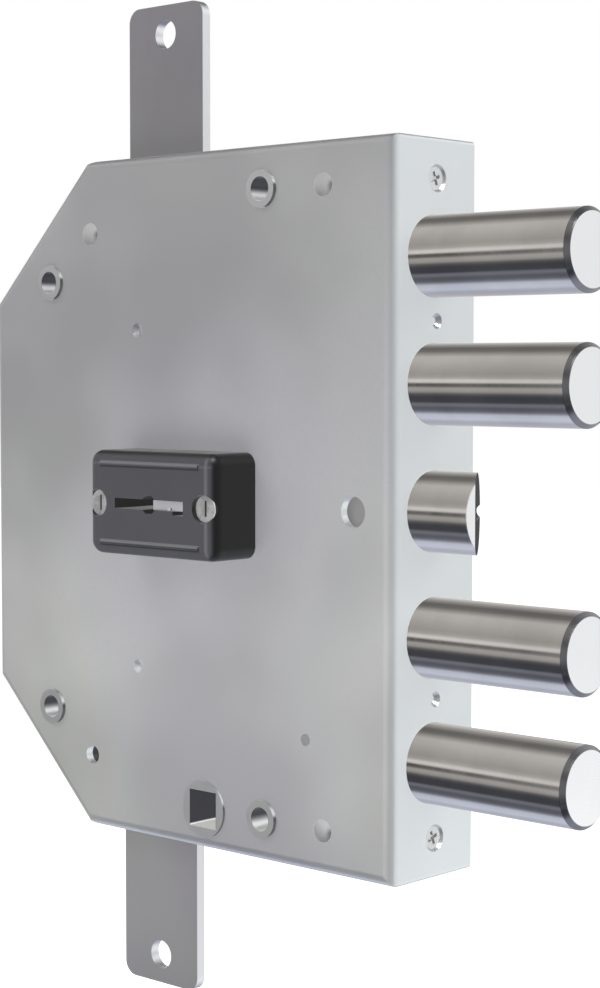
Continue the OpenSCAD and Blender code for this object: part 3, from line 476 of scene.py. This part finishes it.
def block_black(name):
    """Semi-gloss black plating on a cast block, with painted light and shade: the face is lighter and the sides
    painted darker as shade, painted highlights above the ribs, along the upper rib and on the right border,
    painted shade below the ribs, and painted shade that blackens the keyhole and the side that faces the bolts."""
    mat, g = new_material(name)
    place = g.place()
    x, y, z = g.split(place)
    aside = g.math("ABSOLUTE", x)
    cloud = g.noise(place, 90.0, 3.0, 0.55)
    peel = g.noise(place, 1400.0, 2.0, 0.5)
    # the face is lighter and the sides get painted shade
    face = g.fall(y, -0.0414, -0.0404)
    tone = g.mix(face, (0.016, 0.016, 0.017), (0.062, 0.061, 0.069))
    tone = g.mix(g.times(g.span(cloud, 0.35, 0.7), 0.25), tone, (0.05, 0.05, 0.054))
    on_rib = g.times(face, g.fall(aside, 0.0163, 0.0167))
    # painted highlight above each rib and painted shade below it
    for rib_z in (RIB_Z, -RIB_Z):
        up = g.math("SUBTRACT", z, rib_z)
        rib_highlight = g.band(up, -0.0001, 0.0002, 0.0005, 0.0008)
        shade = g.band(up, -0.0010, -0.0007, -0.0003, -0.0001)
        tone = g.mix(g.times(rib_highlight, on_rib, 0.8), tone, (0.17, 0.17, 0.18))
        tone = g.mix(g.times(shade, on_rib, 0.8), tone, (0.020, 0.020, 0.022))
    # painted highlight along the right border
    border = g.times(face, g.band(x, 0.0180, 0.0184, 0.0188, 0.0193))
    tone = g.mix(g.times(border, 0.55), tone, (0.14, 0.14, 0.15))
    # painted highlight along the upper rib
    upper_rib = g.times(face, g.band(z, 0.0088, 0.0091, 0.0093, 0.0097))
    tone = g.mix(g.times(upper_rib, 0.35), tone, (0.13, 0.13, 0.14))
    # painted shade that blackens the keyhole
    keyhole = g.times(g.span(y, -0.0416, -0.0412), g.fall(g.math("ABSOLUTE", z), 0.0026, 0.0030),
                      g.fall(aside, 0.0116, 0.0120))
    tone = g.mix(keyhole, tone, (0.002, 0.002, 0.002))
    # painted shade that blackens the side that faces the bolts
    tone = g.mix(g.span(g.facing()[0], 0.5, 0.9), tone, (0.008, 0.008, 0.008))
    r = g.span(cloud, 0.3, 0.7, 0.30, 0.38)
    finish_material(g, tone, r, g.bump(peel, 0.00003, 0.3), metallic=0.0, specular=0.22)
    return mat


def slotted_heads(name):
    """Zinc-plated screw heads, with painted shade in the slot and down the head's side."""
    mat, g = new_material(name)
    place = g.place()
    x, y, z = g.split(place)
    speck = g.noise(place, GRAIN, 2.0, 0.6)
    blotch = g.noise(place, 350.0, 2.0, 0.6)
    tone = g.mix(g.span(blotch, 0.35, 0.65), (0.52, 0.52, 0.53), (0.78, 0.78, 0.79))
    from_slot = g.math("ABSOLUTE", g.math("SUBTRACT", g.math("ABSOLUTE", x), SCREW_X))
    from_middle = g.math("ABSOLUTE", g.math("ADD", z, 0.0002))
    slot = g.times(g.fall(from_slot, 0.00034, 0.00046), g.fall(from_middle, 0.0017, 0.0019))
    side = g.span(y, -0.04052, -0.04040)
    # painted shade in the slot and down the head's side
    tone = g.mix(g.math("MAXIMUM", slot, side), tone, (0.03, 0.03, 0.032))
    normal = g.bump(g.math("ADD", speck, blotch), 0.00002, 0.4)
    finish_material(g, tone, g.span(speck, 0.3, 0.7, 0.26, 0.36), normal, metallic=0.85)
    return mat


def brassy(name, colour, rough):
    """Bare brass sheet, drawn along X, a little tarnished in clouds."""
    mat, g = new_material(name)
    place = g.place()
    cloud = g.noise(place, 70.0, 3.0, 0.6)
    lines = g.noise(place, 1300.0, 2.0, 0.6, stretch=(0.1, 1.0, 1.0))
    tone = g.mix(g.span(cloud, 0.3, 0.7), tuple(c * 0.8 for c in colour), colour)
    r = g.math("ADD", g.span(cloud, 0.3, 0.7, rough, rough + 0.1), g.times(lines, 0.08))
    finish_material(g, tone, r, g.bump(lines, 0.00003, 0.3))
    return mat


ALONG_X, ALONG_Z = (0.1, 1.0, 1.0), (1.0, 1.0, 0.08)     # brush directions

# the case's edge paints a lighter tone on its front plate, and its fade paints shade towards its top
case_steel = satin_sheet(
    "case_steel", (0.745, 0.75, 0.775), (0.585, 0.59, 0.61), 0.34, edge=(0.745, 0.775, 0.78),
    fade=[(0.03, 0.88), (0.12, 0.94), (0.24, 1.0), (0.38, 1.0), (0.55, 0.90), (0.80, 0.78)])
# one steel in a shaded copy for the upper rod and a lit copy for the lower rod; edge paints light on the rods'
# faces turned to +X
rod_steel = satin_sheet("rod_steel", (0.365, 0.36, 0.38), (0.305, 0.30, 0.318), 0.34, brush=ALONG_Z,
                        metallic=0.84, edge=(0.74, 0.74, 0.75))
low_rod_steel = satin_sheet("low_rod_steel", (0.57, 0.56, 0.595), (0.49, 0.48, 0.51), 0.34, brush=ALONG_Z,
                            metallic=0.84, edge=(0.70, 0.70, 0.71))
plain_steel = satin_sheet("plain_steel", (0.46, 0.46, 0.47), (0.36, 0.36, 0.365), 0.34, brush=ALONG_X)
bush_steel = satin_sheet("bush_steel", (0.62, 0.63, 0.64), (0.52, 0.53, 0.54), 0.24, grain=0.5, metallic=0.9)
# these paint shade and light into their bores and shade onto their rims
ringed_bush = bored_steel("ringed_bush", (0.67, 0.68, 0.69), (0.60, 0.61, 0.62), 0.30, BUSH_PLACES, BUSH_BORE)
square_hub = bored_steel("square_hub", (0.70, 0.71, 0.73), (0.62, 0.63, 0.65), 0.34, [SOCKET_PLACE],
                         SOCKET_HALF, square=True)
post_ends = bored_steel("post_ends", (0.84, 0.84, 0.85), (0.70, 0.70, 0.71), 0.42, [OPEN_POST_PLACE],
                        OPEN_POST_BORE, lit=0.09)
zinc = satin_sheet("zinc", (0.72, 0.735, 0.74), (0.60, 0.61, 0.62), 0.27, grain=0.6)
oiled_steel = satin_sheet("oiled_steel", (0.10, 0.10, 0.10), (0.06, 0.06, 0.062), 0.34, brush=ALONG_X)
brass = brassy("lever_brass", (0.62, 0.47, 0.23), 0.30)

WEARS = {
    "case_shell": case_steel, "back_plate": case_steel, "back_plate_screws": zinc, "case_posts": post_ends,
    "fixing_bushes": ringed_bush, "bolt_guide_plate": plain_steel, "front_screws": zinc,
    "key_block": block_black("dark_block"), "key_block_screws": slotted_heads("block_screws"),
    "guard_plate": oiled_steel, "rotor_ring": plain_steel, "carriage_guide_posts": zinc,
    "lever_guide_pins": zinc, "lever_spring_comb": brassy("spring_brass", (0.66, 0.50, 0.25), 0.22),
    "latch_spring_rod": zinc, "latch_lever_stud": bush_steel, "latch_spring": zinc, "key_rotor": oiled_steel,
    "carriage_plate": plain_steel, "lever_stump": plain_steel, "bolt_cross_pins": plain_steel,
    "upper_rod": rod_steel, "lower_rod": low_rod_steel, "upper_rod_pin": plain_steel,
    "lower_rod_pin": plain_steel, "latch_bolt": polished("nickel_latch", 0.12, LATCH_END, 0, bevel=True),
    "latch_drive_pin": plain_steel, "latch_lever": plain_steel, "handle_follower": square_hub
}
WEARS.update({f"bolt_{i}": polished(f"nickel_{i}", 0.10, BOLT_END, row) for i, row in enumerate(BOLT_ROWS, 1)})
WEARS.update({f"lever_{i}": brass for i in range(1, 6)})

for name, obj in NODES.items():
    obj.data.materials.clear()
    obj.data.materials.append(WEARS[name])
    obj.visible_glossy = False

soften(NODES["fixing_bushes"], 0.00038)
soften(NODES["handle_follower"], 0.0003)
soften(NODES["key_block_screws"], 0.00015, 2)


# ---------------------------------------------------------------- key shutter
SHUTTER_LEFT, SHUTTER_RIGHT = 0.0008, 0.0112
SHUTTER_HALF = 0.00112                      # half its height
NOTCH_LEFT, NOTCH_RIGHT, NOTCH_TOP = 0.0056, 0.0070, -0.0005
SHUTTER_NEAR, SHUTTER_FAR = -0.0410, -0.0400


def add_key_shutter():
    """The bright spring-loaded plate that closes one half of the keyhole, just behind the block's face."""
    outline = [(SHUTTER_LEFT, -SHUTTER_HALF), (NOTCH_LEFT, -SHUTTER_HALF), (NOTCH_LEFT, NOTCH_TOP),
               (NOTCH_RIGHT, NOTCH_TOP), (NOTCH_RIGHT, -SHUTTER_HALF), (SHUTTER_RIGHT, -SHUTTER_HALF),
               (SHUTTER_RIGHT, SHUTTER_HALF), (SHUTTER_LEFT, SHUTTER_HALF)]
    n = len(outline)
    points = [(x, y, z) for y in (SHUTTER_NEAR, SHUTTER_FAR) for x, z in outline]
    faces = [tuple(range(n)), tuple(reversed(range(n, 2 * n)))]
    faces += [(i, i + n, (i + 1) % n + n, (i + 1) % n) for i in range(n)]
    plate = add_piece("key_shutter", points, faces, zinc)
    soften(plate, 0.00008, 2)
    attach(plate, "case")


add_key_shutter()


# ---------------------------------------------------------------- latch spring
SPRING_START, SPRING_END = 0.0284, 0.0676
SPRING_RADIUS, WIRE_RADIUS = 0.00335, 0.0004
SPRING_TURNS, STEPS_PER_TURN, WIRE_SIDES = 9, 28, 10
CLOSED = 0.09                # share of the wire that lies flat in the coil at each end
CLOSED_RISE = 0.00085        # what a closed end would rise if the coil's end didn't hold it flat
SPRING_LEAD = 0.0008         # how far the first closed end's rise starts outside the coil


def add_coil_spring():
    """The latch's spring, which the latch presses together as it is drawn back, built here at rest: round wire
    with closed end coils.
    """
    steps = SPRING_TURNS * STEPS_PER_TURN
    points, faces = [], []
    for i in range(steps + 1):
        t = i / steps
        open_share = min(max((t - CLOSED) / (1 - 2 * CLOSED), 0.0), 1.0)
        closed_share = (min(t, CLOSED) + max(t - (1 - CLOSED), 0.0)) / CLOSED
        along = SPRING_START + (SPRING_END - SPRING_START) * open_share + CLOSED_RISE * closed_share - SPRING_LEAD
        along = min(max(along, SPRING_START), SPRING_END)
        turn = 2 * math.pi * SPRING_TURNS * t
        out = Vector((0.0, math.cos(turn), math.sin(turn)))
        middle = Vector((along, Y_MID, 0.0)) + out * SPRING_RADIUS
        for k in range(WIRE_SIDES):
            a = 2 * math.pi * k / WIRE_SIDES
            points.append(middle + out * WIRE_RADIUS * math.cos(a) + Vector((WIRE_RADIUS * math.sin(a), 0.0, 0.0)))
    for i in range(steps):
        for k in range(WIRE_SIDES):
            here, beside = i * WIRE_SIDES + k, i * WIRE_SIDES + (k + 1) % WIRE_SIDES
            faces.append((here, beside, beside + WIRE_SIDES, here + WIRE_SIDES))
    faces.append(tuple(range(WIRE_SIDES - 1, -1, -1)))
    faces.append(tuple(steps * WIRE_SIDES + k for k in range(WIRE_SIDES)))
    spring = add_piece("coil_spring", points, faces, zinc, smooth=True)
    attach(spring, "case")
    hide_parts("latch_spring")
    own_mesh(spring)


add_coil_spring()
